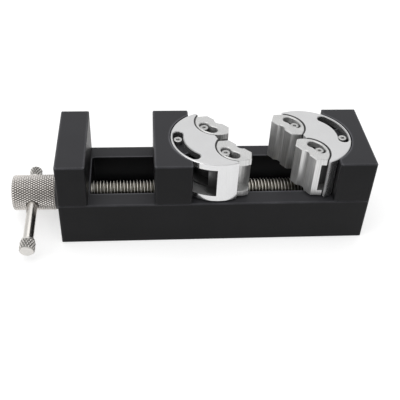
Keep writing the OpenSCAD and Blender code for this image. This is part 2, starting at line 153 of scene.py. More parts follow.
@dataclass(frozen=True)
class Skin:
    """Four-sided faces over points in millimetres, with a relief from 0 to 1 at each point."""

    points: np.ndarray
    quads: np.ndarray
    relief: np.ndarray

    def __add__(self, other: "Skin") -> "Skin":
        """Lay two skins side by side; rims that meet are merged when the mesh is made."""
        return Skin(
            np.concatenate([self.points, other.points]),
            np.concatenate([self.quads, other.quads + len(self.points)]),
            np.concatenate([self.relief, other.relief]),
        )

    def mesh_object(self, name: str) -> Object:
        """Make a closed mesh object at the origin.

        Args:
            name: Name of the object and of its mesh.

        Returns:
            The object, linked to the scene.
        """
        mesh = bpy.data.meshes.new(name)
        mesh.vertices.add(len(self.points))
        mesh.vertices.foreach_set("co", (self.points * MM).astype(np.float32).ravel())
        mesh.loops.add(self.quads.size)
        mesh.loops.foreach_set("vertex_index", self.quads.astype(np.int32).ravel())
        mesh.polygons.add(len(self.quads))
        starts = np.arange(0, self.quads.size, self.quads.shape[1], dtype=np.int32)
        mesh.polygons.foreach_set("loop_start", starts)
        height = mesh.attributes.new(RELIEF, "FLOAT", "POINT")
        height.data.foreach_set("value", self.relief.astype(np.float32))
        mesh.update(calc_edges=True)
        welded = bmesh.new()
        welded.from_mesh(mesh)
        bmesh.ops.remove_doubles(welded, verts=welded.verts, dist=MERGE_MM * MM)
        bmesh.ops.dissolve_degenerate(welded, edges=welded.edges, dist=SLIVER_MM * MM)
        welded.to_mesh(mesh)
        welded.free()
        mesh.validate()
        shade(mesh)
        thing = bpy.data.objects.new(name, mesh)
        bpy.context.scene.collection.objects.link(thing)
        return thing


def shade(mesh: Mesh) -> None:
    """Shade a mesh smooth, apart from its sharp edges."""
    mesh.shade_smooth()
    mesh.set_sharp_from_angle(angle=math.radians(SHARP_DEG))


def angles(columns: int) -> np.ndarray:
    """Give even angles round a full turn."""
    return FULL_TURN * np.arange(columns) / columns


def strips(here: np.ndarray, beside: np.ndarray) -> np.ndarray:
    """Give the faces between rows of points, from each point and the one beside it."""
    return np.stack([here[:-1], beside[:-1], beside[1:], here[1:]], axis=-1).reshape(-1, 4)


def wave(phase: np.ndarray) -> np.ndarray:
    """Give a straight-sided wave of period 1: 0 at whole phases and 1 halfway between."""
    return 1.0 - np.abs(2.0 * np.mod(phase, 1.0) - 1.0)


def soft_profile(
    corners: Sequence[Corner], steps: int = CORNER_STEPS
) -> tuple[np.ndarray, np.ndarray]:
    """Round the corners of a profile.

    Each corner becomes the curve (1-t)^2 * before + 2t(1-t) * corner + t^2 * after, whose ends
    lie on the two sides at the corner's own rounding distance.

    Args:
        corners: Station, radius and rounding of each corner, in order.
        steps: Number of points on each rounded corner.

    Returns:
        The stations and the radii of the rounded profile.
    """
    table = np.array(corners, float)
    spots = table[:, :2]
    legs = np.diff(spots, axis=0)
    ways = legs / np.maximum(np.linalg.norm(legs, axis=1, keepdims=True), SAME_MM)
    still = np.zeros((1, 2))
    before = (spots - table[:, 2:] * np.concatenate([still, ways]))[:, None]
    after = (spots + table[:, 2:] * np.concatenate([ways, still]))[:, None]
    t = np.linspace(0.0, 1.0, steps)[None, :, None]
    curve = (1 - t) ** 2 * before + 2 * t * (1 - t) * spots[:, None] + t**2 * after
    flat = curve.reshape(-1, 2)
    return flat[:, 0], flat[:, 1]


def turned_skin(
    axle: Axle,
    stations: np.ndarray,
    radii: np.ndarray,
    columns: int,
    relief: np.ndarray | None = None,
) -> Skin:
    """Turn a profile about an axis.

    point(row, column) = axle.place(stations[row], radii[row, column], turn * column / columns).
    Rows that run along the axis on the outside make faces that look outwards.

    Args:
        axle: The axis.
        stations: Station of each row.
        radii: Radius of each row, or of each row and column.
        columns: Number of points round the axis.
        relief: Height of relief of each row and column, 1 where it is not given.

    Returns:
        The skin, open at its first and last row unless their radius is 0.
    """
    shape = (len(stations), columns)
    radius = np.broadcast_to(radii if radii.ndim == 2 else radii[:, None], shape)
    station = np.broadcast_to(stations[:, None], shape)
    points = axle.place(station, radius, np.broadcast_to(angles(columns), shape))
    here = np.arange(len(stations) * columns).reshape(shape)
    heights = np.ones(shape) if relief is None else relief
    return Skin(points.reshape(-1, 3), strips(here, np.roll(here, -1, axis=1)), heights.ravel())


def soft_turned(axle: Axle, corners: Sequence[Corner], columns: int = ROUND_COLUMNS) -> Skin:
    """Turn a profile about an axis, from the station, radius and rounding of each corner."""
    stations, radii = soft_profile(corners)
    return turned_skin(axle, stations, radii, columns)


@dataclass(frozen=True)
class Knurl:
    """Crossed helical grooves that leave rows of diamonds."""

    teeth: int
    lead: float
    depth: float
    flat: float
    steps: int = 8
    corner_steps: int = 9

    def height(self, station: np.ndarray, angle: np.ndarray) -> np.ndarray:
        """Give the relief of the diamonds, 0 in the grooves and 1 on the flats.

        height = min(1, flat * lower of wave(teeth * turns + station / lead) and
        wave(teeth * turns - station / lead)).

        Args:
            station: Distance along the axis.
            angle: Angle about the axis.

        Returns:
            The height at each point.
        """
        across = self.teeth * angle / FULL_TURN
        lower = np.minimum(wave(across + station / self.lead), wave(across - station / self.lead))
        return np.minimum(1.0, self.flat * lower)

    def skin(self, axle: Axle, corners: Sequence[Corner], band: Point) -> Skin:
        """Turn a profile whose outside between two stations is knurled.

        The band's radius is the lower of the rounded profile there and
        outer - depth * (1 - height), so the diamonds fade into its rounded ends.

        Args:
            axle: The axis.
            corners: The profile, with the band's side as one straight leg.
            band: First station, last station and outer radius of the band.

        Returns:
            The skin.
        """
        start, stop, outer = band
        columns = self.teeth * self.steps
        stations, radii = soft_profile(corners, self.corner_steps)
        side = (radii > outer - SAME_MM).nonzero()[0]
        low, high = side[0], side[-1]
        rows = np.arange(start, stop, self.lead / self.steps)
        rows = rows[(rows > stations[low] + SAME_MM) & (rows < stations[high] - SAME_MM)]
        stations = np.concatenate([stations[: low + 1], rows, stations[high:]])
        radii = np.concatenate([radii[: low + 1], np.full(rows.size, outer), radii[high:]])
        height = self.height(stations[:, None] - start, angles(columns)[None, :])
        cut = outer - self.depth * (1.0 - height)
        index = np.arange(stations.size)
        first, last = low - self.corner_steps, low + rows.size + self.corner_steps
        outside = (index > first) & (index <= last)
        inside = (stations > start + SAME_MM) & (stations < stop - SAME_MM)
        held = (outside & inside)[:, None]
        full = np.where(held, np.minimum(radii[:, None], cut), radii[:, None])
        return turned_skin(axle, stations, full, columns, np.where(held, height, 1.0))


def drill(solid: Object, tools: Sequence[Object]) -> None:
    """Cut holes with a Boolean and keep only the result.

    Args:
        solid: The piece that gets the holes.
        tools: Closed shapes of the holes, which are deleted.
    """
    for tool in tools:
        step = solid.modifiers.new(tool.name, "BOOLEAN")
        step.operation = "DIFFERENCE"
        step.solver = "EXACT"
        step.object = tool
    whole = solid.data
    solid.data = bpy.data.meshes.new_from_object(
        solid.evaluated_get(bpy.context.evaluated_depsgraph_get())
    )
    solid.modifiers.clear()
    solid.data.name = whole.name
    bpy.data.meshes.remove(whole)
    for tool in tools:
        bpy.data.objects.remove(tool)
    shade(solid.data)


# Finishes


# Detail of fine, streaked and wide noises
FINE_DETAIL = 2.0
STREAK_DETAIL = 3.0
WIDE_DETAIL = 4.0
# Spans over which a noise becomes lines and an upward slope becomes the mask of painted top light
LINE_SPAN = (0.3, 0.7)
SLOPE_SPAN = (0.3, 0.9)
# Open shares of the half sphere at a point, over which the masks of painted shade in hollows and of
# lighter edges rise, and the number of rays that find them
HOLLOW_SPAN = (0.98, 0.74)
EDGE_SPAN = (0.90, 0.45)
FORM_SAMPLES = 8
# Tone halfway between a finish's deep and pale colour
MID_TONE = 0.5


class Graph:
    """A node tree that is filled by short calls."""

    def __init__(self, tree: NodeTree) -> None:
        """Hold the tree and empty it."""
        self.tree = tree
        tree.nodes.clear()

    def add(self, kind: str, inputs: dict[Any, Any] | None = None, **settings: Any) -> Node:
        """Add a node.

        Args:
            kind: The node's type.
            inputs: Values or output sockets, by the name or number of the input.
            **settings: The node's own settings.

        Returns:
            The node.
        """
        node = self.tree.nodes.new(kind)
        for key, value in settings.items():
            setattr(node, key, value)
        for key, value in (inputs or {}).items():
            if isinstance(value, NodeSocket):
                self.tree.links.new(value, node.inputs[key])
            else:
                node.inputs[key].default_value = value
        return node

    def math(self, operation: str, first: Any, second: Any) -> NodeSocket:
        """Add a Math node and return its result."""
        return self.add("ShaderNodeMath", {0: first, 1: second}, operation=operation).outputs[0]

    def vector(self, operation: str, inputs: dict[Any, Any], output: str = "Vector") -> NodeSocket:
        """Add a Vector Math node and return its result."""
        return self.add("ShaderNodeVectorMath", inputs, operation=operation).outputs[output]

    def noise(self, place: Any, scale: Any, detail: float) -> NodeSocket:
        """Add a noise over places and return its value."""
        inputs = {"Vector": place, "Scale": scale, "Detail": detail}
        return self.add("ShaderNodeTexNoise", inputs).outputs[0]

    def spread(
        self, value: Any, low: float, high: float, span: Span = (0.0, 1.0), **settings: Any
    ) -> NodeSocket:
        """Spread a value that runs over a span over low..high, and hold it past the ends."""
        inputs = {"Value": value, "From Min": span[0], "From Max": span[1]}
        inputs |= {"To Min": low, "To Max": high}
        return self.add("ShaderNodeMapRange", inputs, **settings).outputs[0]

    def group(self, tree: NodeTree, inputs: dict[str, Any] | None = None) -> NodeOutputs:
        """Place a shared effect with its values and return its outputs."""
        return self.add("ShaderNodeGroup", inputs, node_tree=tree).outputs

    def give(self, results: dict[str, NodeSocket]) -> NodeTree:
        """End a shared effect with its results and return its tree."""
        self.add("NodeGroupOutput", results)
        return self.tree


def blank_material(name: str) -> tuple[Material, Graph]:
    """Make a material and the graph of its empty node tree."""
    made = bpy.data.materials.new(name)
    made.use_nodes = True
    return made, Graph(made.node_tree)


def shared_effect(
    name: str, inputs: dict[str, Socket], outputs: Sequence[str]
) -> tuple[Graph, NodeOutputs]:
    """Start a node group.

    Args:
        name: Name of the group.
        inputs: Type of each input, by its name.
        outputs: Names of the outputs, which are numbers.

    Returns:
        The graph of the group and the sockets that bring its inputs.
    """
    tree = bpy.data.node_groups.new(name, "ShaderNodeTree")
    for label, kind in inputs.items():
        tree.interface.new_socket(label, in_out="INPUT", socket_type=kind.value)
    for label in outputs:
        tree.interface.new_socket(label, in_out="OUTPUT", socket_type=Socket.FLOAT.value)
    graph = Graph(tree)
    return graph, graph.add("NodeGroupInput").outputs


@dataclass(frozen=True)
class Effects:
    """The node groups that several finishes share."""

    grain: NodeTree
    lines: NodeTree
    facing: NodeTree
    hollows: NodeTree
    edges: NodeTree
    axis: NodeTree

    @classmethod
    def build(cls) -> "Effects":
        """Build every group once."""
        return cls(
            grain=cls.blasted_grain(),
            lines=cls.machining_lines(),
            facing=cls.painted_top_light(),
            hollows=cls.own_form("hollows", False, HOLLOW_SPAN),
            edges=cls.own_form("outer_edges", True, EDGE_SPAN),
            axis=cls.round_an_axis(),
        )

    @staticmethod
    def blasted_grain() -> NodeTree:
        """Build fine grain for bumps and wide soft patches for tone, from two noises."""
        sockets = {"Grain": Socket.FLOAT, "Patch": Socket.FLOAT}
        graph, given = shared_effect("blasted_grain", sockets, ["Height", "Tone"])
        place = graph.add("ShaderNodeTexCoord").outputs["Object"]
        fine = graph.noise(place, given["Grain"], FINE_DETAIL)
        wide = graph.noise(place, given["Patch"], WIDE_DETAIL)
        return graph.give({"Height": fine, "Tone": wide})

    @staticmethod
    def machining_lines() -> NodeTree:
        """Build streaks: a noise on places stretched by its own factor along each axis."""
        graph, given = shared_effect("machining_lines", {"Stretch": Socket.VECTOR}, ["Lines"])
        place = graph.add("ShaderNodeTexCoord").outputs["Object"]
        stretched = graph.vector("MULTIPLY", {0: place, 1: given["Stretch"]})
        noise = graph.noise(stretched, 1.0 / MM, STREAK_DETAIL)
        return graph.give({"Lines": graph.spread(noise, 0.0, 1.0, LINE_SPAN)})

    @staticmethod
    def painted_top_light() -> NodeTree:
        """Build a mask for painted light on tops: 1 on faces that look up and 0 on upright ones."""
        graph, _ = shared_effect("painted_top_light", {}, ["Mask"])
        normal = graph.add("ShaderNodeTexCoord").outputs["Normal"]
        slope = graph.add("ShaderNodeSeparateXYZ", {0: normal}).outputs["Z"]
        return graph.give({"Mask": graph.spread(slope, 0.0, 1.0, SLOPE_SPAN)})

    @staticmethod
    def own_form(name: str, inside: bool, span: Span) -> NodeTree:
        """Build a mask from a piece's own form: in its hollows, or along its outer edges.

        Args:
            name: Name of the group.
            inside: True to look into the metal, which finds edges, or False to look out of it.
            span: Open shares of the half sphere over a point at which the mask is 0 and 1.

        Returns:
            The group.
        """
        graph, given = shared_effect(name, {"Reach": Socket.FLOAT}, ["Mask"])
        open_share = graph.add(
            "ShaderNodeAmbientOcclusion",
            {"Distance": given["Reach"]},
            only_local=True,
            inside=inside,
            samples=FORM_SAMPLES,
        )
        return graph.give({"Mask": graph.spread(open_share.outputs["AO"], 0.0, 1.0, span)})

    @staticmethod
    def round_an_axis() -> NodeTree:
        """Build what runs round an axis, from the length of (place - point) x direction.

        The mask is 1 nearer to the axis than the reach, and the rings are a noise on the distance
        in units of the reach.

        Returns:
            The group.
        """
        sockets = {"Point": Socket.VECTOR, "Along": Socket.VECTOR, "Reach": Socket.FLOAT}
        graph, given = shared_effect("round_an_axis", sockets, ["Mask", "Rings"])
        place = graph.add("ShaderNodeTexCoord").outputs["Object"]
        away = graph.vector("SUBTRACT", {0: place, 1: given["Point"]})
        cross = graph.vector("CROSS_PRODUCT", {0: away, 1: given["Along"]})
        spoke = graph.vector("LENGTH", {0: cross}, "Value")
        mask = graph.math("LESS_THAN", spoke, given["Reach"])
        turns = graph.math("DIVIDE", spoke, given["Reach"])
        bands = {"W": turns, "Scale": 1.0, "Detail": FINE_DETAIL}
        rings = graph.add("ShaderNodeTexNoise", bands, noise_dimensions="1D")
        return graph.give({"Mask": mask, "Rings": rings.outputs[0]})


@dataclass(frozen=True)
class Finish:
    """A metal surface, from its tone, grain, machining lines and relief."""

    name: str
    deep: Colour
    pale: Colour
    metallic: float
    roughness: Span
    # Blasted grain and soft patches
    grain_mm: float
    patch_mm: float
    patch_share: float
    grain_depth_mm: float = 0.004
    grain_share: float = 0.0
    specular: float = 0.5
    # Machining lines, and painted light that makes faces that look up lighter than upright ones
    stretch: Point = (6.0, 6.0, 0.2)
    line_share: float = 0.0
    top_light_share: float = 0.0
    # Relief of a knurl or a thread, with painted shade in its grooves and a painted highlight on
    # its crests
    groove_shade_share: float = 0.0
    crest_highlight: float = 0.0
    crest_highlight_from: float = 0.0
    # Painted shade in hollows and round the pads' pockets, and lighter outer edges, part wear and
    # part painted highlight
    hollow_mm: float = 8.0
    hollow_shade_share: float = 0.0
    edge_mm: float = 0.6
    edge_gain: float = 0.0
    pocket_shade_axles: tuple[Axle, ...] = ()
    pocket_shade_mm: float = 0.0
    # Rings round the lathe's axis, and the turned wall beyond a distance from it
    lathe: Axle | None = None
    ring_mm: float = 0.25
    ring_share: float = 0.0
    turned_mm: float = 0.0
    turned_gloss: float = 1.0
    turned_metal: float = 1.0
    turned_grain: float = 1.0

    def material(self, effects: Effects) -> Material:
        """Build the material.

        Painted shade in hollows and round the pads' pockets darkens the colour and dulls the
        metal, the patches run the roughness, the grain runs the bumps, and turned walls are
        smoother and more metallic.

        Args:
            effects: The shared node groups.

        Returns:
            The material.
        """
        made, graph = blank_material(self.name)
        sizes = {"Grain": 1.0 / (self.grain_mm * MM), "Patch": 1.0 / (self.patch_mm * MM)}
        grain = graph.group(effects.grain, sizes)
        colour = self.colour(graph, effects, grain)
        metallic = self.metallic
        # Painted shade: hollows and the pads' pockets get a darker colour and duller metal
        if self.hollow_shade_share:
            unshaded = self.unshaded_share(graph, effects)
            colour = graph.vector("SCALE", {0: colour, "Scale": unshaded})
            metallic = graph.math("MULTIPLY", unshaded, metallic)
        height = grain["Height"]
        dull = graph.spread(grain["Tone"], *self.roughness)
        if self.turned_mm:
            faces = self.round_axle(graph, effects, self.lathe, self.turned_mm)["Mask"]
            height = graph.math("MULTIPLY", height, graph.spread(faces, self.turned_grain, 1.0))
            dull = graph.math("MULTIPLY", dull, graph.spread(faces, self.turned_gloss, 1.0))
            metallic = graph.math("MAXIMUM", metallic, graph.spread(faces, self.turned_metal, 0.0))
        bumps = {"Height": height, "Distance": self.grain_depth_mm * MM}
        shader = graph.add(
            "ShaderNodeBsdfPrincipled",
            {
                "Base Color": colour,
                "Metallic": metallic,
                "Roughness": dull,
                "Specular IOR Level": self.specular,
                "Normal": graph.add("ShaderNodeBump", bumps).outputs["Normal"],
            },
        )
        graph.add("ShaderNodeOutputMaterial", {"Surface": shader.outputs[0]})
        return made

    def tone(self, graph: Graph, effects: Effects, grain: NodeOutputs) -> NodeSocket:
        """Give the tone: the middle one, with each effect's share either way.

        Args:
            graph: The material's graph.
            effects: The shared node groups.
            grain: Outputs of the grain's group.

        Returns:
            The tone, 0 where the colour is deep and 1 where it is pale.
        """
        low, high = MID_TONE - self.patch_share, MID_TONE + self.patch_share
        tone = graph.spread(grain["Tone"], low, high)
        parts = []
        if self.grain_share:
            parts.append((grain["Height"], self.grain_share))
        if self.line_share:
            lines = graph.group(effects.lines, {"Stretch": self.stretch})
            parts.append((lines["Lines"], self.line_share))
        # Painted light: faces that look up are made lighter than upright ones
        if self.top_light_share:
            parts.append((graph.group(effects.facing)["Mask"], self.top_light_share))
        if self.ring_share:
            rings = self.round_axle(graph, effects, self.lathe, self.ring_mm)
            parts.append((rings["Rings"], self.ring_share))
        for effect, share in parts:
            tone = graph.math("ADD", tone, graph.spread(effect, -share, share))
        # Painted shade in the grooves and a painted highlight on the crests
        if self.groove_shade_share:
            relief = graph.add("ShaderNodeAttribute", attribute_name=RELIEF).outputs["Fac"]
            span = (self.crest_highlight_from, 1.0)
            part = graph.spread(relief, -self.groove_shade_share, self.crest_highlight, span)
            tone = graph.math("ADD", tone, part)
        return tone

    def colour(self, graph: Graph, effects: Effects, grain: NodeOutputs) -> NodeSocket:
        """Give the colour of the open faces and of the outer edges.

        Args:
            graph: The material's graph.
            effects: The shared node groups.
            grain: Outputs of the grain's group, whose patches are where edges are lighter.

        Returns:
            The colour from deep to pale by tone, times (1 + edge gain * edge * patch); the lighter
            edges are part wear and part painted highlight.
        """
        ramp = graph.add("ShaderNodeValToRGB", {"Fac": self.tone(graph, effects, grain)})
        ramp.color_ramp.elements[0].color = self.deep
        ramp.color_ramp.elements[1].color = self.pale
        colour = ramp.outputs["Color"]
        if not self.edge_gain:
            return colour
        # Lighter outer edges: part wear, part painted highlight
        edge = graph.group(effects.edges, {"Reach": self.edge_mm * MM})["Mask"]
        edge_wear_and_light = graph.math("MULTIPLY", edge, grain["Tone"])
        light = graph.spread(edge_wear_and_light, 1.0, 1.0 + self.edge_gain)
        return graph.vector("SCALE", {0: colour, "Scale": light})

    @staticmethod
    def round_axle(graph: Graph, effects: Effects, axle: Axle, reach_mm: float) -> NodeOutputs:
        """Place the effect round an axle, with its mask's reach or the width of its rings."""
        point = tuple(MM * part for part in axle.point)
        values = {"Point": point, "Along": axle.along, "Reach": reach_mm * MM}
        return graph.group(effects.axis, values)

    def unshaded_share(self, graph: Graph, effects: Effects) -> NodeSocket:
        """Give the unshaded share: 1 on open faces, less under painted shade in hollows and
        pockets.

        Args:
            graph: The material's graph.
            effects: The shared node groups.

        Returns:
            1 - hollow shade share * the higher of the hollow's mask and each pocket's mask.
        """
        hollow = graph.group(effects.hollows, {"Reach": self.hollow_mm * MM})["Mask"]
        for axle in self.pocket_shade_axles:
            pocket_shade = self.round_axle(graph, effects, axle, self.pocket_shade_mm)["Mask"]
            hollow = graph.math("MAXIMUM", hollow, pocket_shade)
        return graph.spread(hollow, 1.0, 1.0 - self.hollow_shade_share)


ANODISED = Finish(
    name="black_anodised",
    deep=(0.0025, 0.0025, 0.0027, 1.0),
    pale=(0.037, 0.037, 0.041, 1.0),
    metallic=0.0,
    roughness=(0.32, 0.46),
    grain_mm=0.35,
    grain_depth_mm=0.014,
    patch_mm=14.0,
    patch_share=0.10,
    grain_share=0.10,
    # Painted light on the tops
    top_light_share=0.35,
    edge_mm=1.2,
    edge_gain=6.0,
    specular=0.14,
)
ROTOR_SILVER = Finish(
    name="blasted_silver",
    deep=(0.58, 0.58, 0.59, 1.0),
    pale=(0.80, 0.80, 0.80, 1.0),
    metallic=0.7,
    roughness=(0.30, 0.44),
    grain_mm=0.45,
    grain_depth_mm=0.010,
    patch_mm=6.0,
    patch_share=0.10,
    grain_share=0.16,
    stretch=(5.0, 5.0, 0.10),
    line_share=0.12,
    # Painted shade, nearly black, in the grooves and pockets
    hollow_shade_share=0.94,
    edge_gain=0.15,
    pocket_shade_mm=10.4,
    turned_mm=20.15,
    turned_gloss=0.50,
    turned_metal=0.96,
    turned_grain=0.15,
)
PAD_SILVER = Finish(
    name="milled_silver",
    deep=(0.48, 0.48, 0.48, 1.0),
    pale=(0.82, 0.82, 0.81, 1.0),
    metallic=0.88,
    roughness=(0.32, 0.48),
    grain_mm=0.16,
    grain_depth_mm=0.006,
    patch_mm=5.0,
    patch_share=0.20,
    stretch=(3.0, 3.0, 0.05),
    line_share=0.40,
    hollow_mm=6.0,
    hollow_shade_share=0.10,
    edge_gain=0.25,
)
THREAD_STEEL = Finish(
    name="thread_steel",
    deep=(0.15, 0.14, 0.115, 1.0),
    pale=(0.94, 0.91, 0.84, 1.0),
    metallic=1.0,
    roughness=(0.24, 0.42),
    grain_mm=0.20,
    grain_depth_mm=0.004,
    patch_mm=5.0,
    patch_share=0.15,
    # Painted shade in the thread's roots and a painted highlight on its crests
    groove_shade_share=0.50,
    crest_highlight=0.45,
    crest_highlight_from=0.60,
)
KNURLED_NICKEL = Finish(
    name="knurled_nickel",
    deep=(0.08, 0.075, 0.07, 1.0),
    pale=(0.95, 0.91, 0.87, 1.0),
    metallic=0.8,
    roughness=(0.26, 0.38),
    grain_mm=0.25,
    grain_depth_mm=0.004,
    patch_mm=7.0,
    patch_share=0.10,
    ring_share=0.30,
    # Painted shade in the knurl's grooves and a painted highlight on its diamonds
    groove_shade_share=0.60,
    crest_highlight=0.45,
)
CAP_NICKEL = replace(
    KNURLED_NICKEL,
    name="cap_nickel",
    deep=(0.18, 0.175, 0.165, 1.0),
    pale=(0.74, 0.72, 0.69, 1.0),
    metallic=0.75,
    groove_shade_share=0.50,
)
BAR_NICKEL = Finish(
    name="polished_nickel",
    deep=(0.50, 0.48, 0.45, 1.0),
    pale=(0.84, 0.82, 0.79, 1.0),
    metallic=1.0,
    roughness=(0.20, 0.28),
    grain_mm=0.30,
    grain_depth_mm=0.002,
    patch_mm=5.0,
    patch_share=0.20,
    stretch=(4.0, 0.15, 4.0),
    line_share=0.10,
)
STOP_STEEL = Finish(
    name="bright_stop_steel",
    deep=(0.40, 0.40, 0.40, 1.0),
    pale=(0.74, 0.74, 0.73, 1.0),
    metallic=1.0,
    roughness=(0.22, 0.36),
    grain_mm=0.10,
    patch_mm=1.5,
    patch_share=0.30,
)
BLACK_OXIDE = Finish(
    name="black_oxide",
    deep=(0.008, 0.008, 0.009, 1.0),
    pale=(0.040, 0.040, 0.042, 1.0),
    metallic=0.0,
    roughness=(0.30, 0.46),
    grain_mm=0.12,
    patch_mm=3.0,
    patch_share=0.30,
    specular=0.45,
)


@dataclass(frozen=True)
class Palette:
    """The shared effects and the materials that need no axle of their own."""

    effects: Effects
    anodised: Material
    pad: Material
    thread: Material
    bar: Material
    stop: Material
    oxide: Material

    @classmethod
    def build(cls) -> "Palette":
        """Build every material once, around the shared effects."""
        effects = Effects.build()
        return cls(
            effects,
            anodised=ANODISED.material(effects),
            pad=PAD_SILVER.material(effects),
            thread=THREAD_STEEL.material(effects),
            bar=BAR_NICKEL.material(effects),
            stop=STOP_STEEL.material(effects),
            oxide=BLACK_OXIDE.material(effects),
        )


# Pieces


def box_mm(node: str) -> tuple[np.ndarray, np.ndarray]:
    """Give the low and the high corner of a node's box in millimetres."""
    low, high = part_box(node)
    return np.array(low) / MM, np.array(high) / MM


def middle(node: str) -> np.ndarray:
    """Give the middle of a node's box in millimetres."""
    low, high = box_mm(node)
    return (low + high) / 2


def joint(name: str) -> dict[str, Any]:
    """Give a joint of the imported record."""
    joints = frame["record"]["behaviour"]["joints"]
    return next(found for found in joints if found["name"] == name)


def joint_point(name: str) -> np.ndarray:
    """Give the point of a joint in millimetres."""
    return np.array(joint(name)["pos_m"], float) / MM


def upright(x: float, y: float, z: float, sign: float = 1.0) -> Axle:
    """Give an upright axle that points up, or down where sign is -1."""
    return Axle((x, y, z), (0.0, 0.0, sign), (1.0, 0.0, 0.0))


def dress(node: str, material: Material) -> None:
    """Give a node of the frame its finish; its shape stays as it is."""
    for place in frame["nodes"][node].material_slots:
        place.material = material
    log.info("dressed %s in %s", node, material.name)


def stand_for(
    node: str,
    skin: Skin,
    body: Body,
    material: Material,
    holes: Sequence[Object] = (),
) -> None:
    """Build a new piece and let it stand for its node.

    Args:
        node: The node that it stands for.
        skin: Its closed skin, in place.
        body: The body that it rides on.
        material: Its finish.
        holes: Closed shapes of the holes that are cut into it.
    """
    piece = skin.mesh_object(node + "_form")
    if holes:
        drill(piece, holes)
    piece.data.materials.clear()
    piece.data.materials.append(material)
    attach(piece, body.value)
    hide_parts(node)
    log.info("built %s: %d faces, rides on %s", piece.name, len(piece.data.polygons), body.value)


@dataclass(frozen=True)
class SocketScrew:
    """A socket screw along its axle, with station 0 at the seat or at a sunk head's face."""

    shank_d: float
    head_d: float
    head_h: float
    socket_w: float
    length: float
    form: HeadForm = HeadForm.CYLINDER
    grip_teeth: int = 36
    tooth_columns: int = 4
    socket_sides: int = 6
    # Share of the head's width
    grip_depth: float = 0.02
    # The tip's bevel is a share of the shank's width, and two roundings are shares of that bevel
    bevel: float = 0.1
    seat_round: float = 0.3
    sunk_round: float = 0.5
    # Shares of the head's height
    top_round: float = 0.12
    grip_span: Span = (0.1, 0.88)
    # Shares of the socket's width
    mouth: float = 0.62
    floor_cone: float = 0.2

    def skin(self, axle: Axle) -> Skin:
        """Build the screw from its tip up to the floor of its socket.

        The head's side has upright grip teeth, radius = head - depth * wave(teeth * turns), and
        the socket's radius at an angle is (width / 2) / cos(angle from the middle of its side).

        Args:
            axle: Axis of the screw, which points out of the head.

        Returns:
            The closed skin.
        """
        columns = self.grip_teeth * self.tooth_columns
        shank_r, head_r, half = self.shank_d / 2, self.head_d / 2, self.socket_w / 2
        bevel = self.bevel * self.shank_d
        corners = [(-self.length, 0.0, 0.0), (-self.length, shank_r, bevel)]
        if self.form is HeadForm.CYLINDER:
            top = self.head_h
            corners += [(0.0, shank_r, 0.0), (0.0, head_r, self.seat_round * bevel)]
            corners += [(top, head_r, self.top_round * top)]
        else:
            top = 0.0
            corners += [(shank_r - head_r, shank_r, 0.0), (0.0, head_r, self.sunk_round * bevel)]
        mouth = self.mouth * self.socket_w
        stations, radii = soft_profile([*corners, (top, mouth, 0.0)])
        angle = angles(columns)
        side = FULL_TURN / self.socket_sides
        flats = half / np.cos(np.mod(angle, side) - side / 2)
        grip = self.grip_depth * self.head_d * wave(self.grip_teeth * angle / FULL_TURN)
        low, high = self.grip_span
        gripped = (stations > low * top) & (stations < high * top)
        round_part = radii[:, None] - np.where(gripped[:, None], grip[None, :], 0.0)
        floor = top - self.head_h / 2
        rim = top - (mouth - half / math.cos(side / 2))
        socket = np.stack([flats, flats, np.zeros(columns)])
        return turned_skin(
            axle,
            np.concatenate([stations, [rim, floor, floor - self.floor_cone * self.socket_w]]),
            np.concatenate([round_part, socket]),
            columns,
        )

    def pair(self, first: Axle, second: Axle) -> Skin:
        """Build the same screw on two axles."""
        return self.skin(first) + self.skin(second)


@dataclass(frozen=True)
class Bed:
    """The base, the end post and the bolts that hold the blocks from below."""

    bolt: SocketScrew = SocketScrew(
        shank_d=6.0, head_d=10.0, head_h=6.0, socket_w=5.0, length=25.0
    )

    def build(self, palette: Palette) -> None:
        """Dress the blocks and build the bolts, heads down.

        Args:
            palette: The materials.
        """
        for node in ("base", "end_post"):
            dress(node, palette.anodised)
        for node in ("end_post_bolts", "fixed_jaw_bolts"):
            low, high = box_mm(node)
            x = (low[0] + high[0]) / 2
            seat = low[2] + self.bolt.head_h
            rows = (low[1] + self.bolt.head_d / 2, high[1] - self.bolt.head_d / 2)
            skin = self.bolt.pair(*(upright(x, y, seat, -1.0) for y in rows))
            stand_for(node, skin, Body.BASE, palette.oxide)


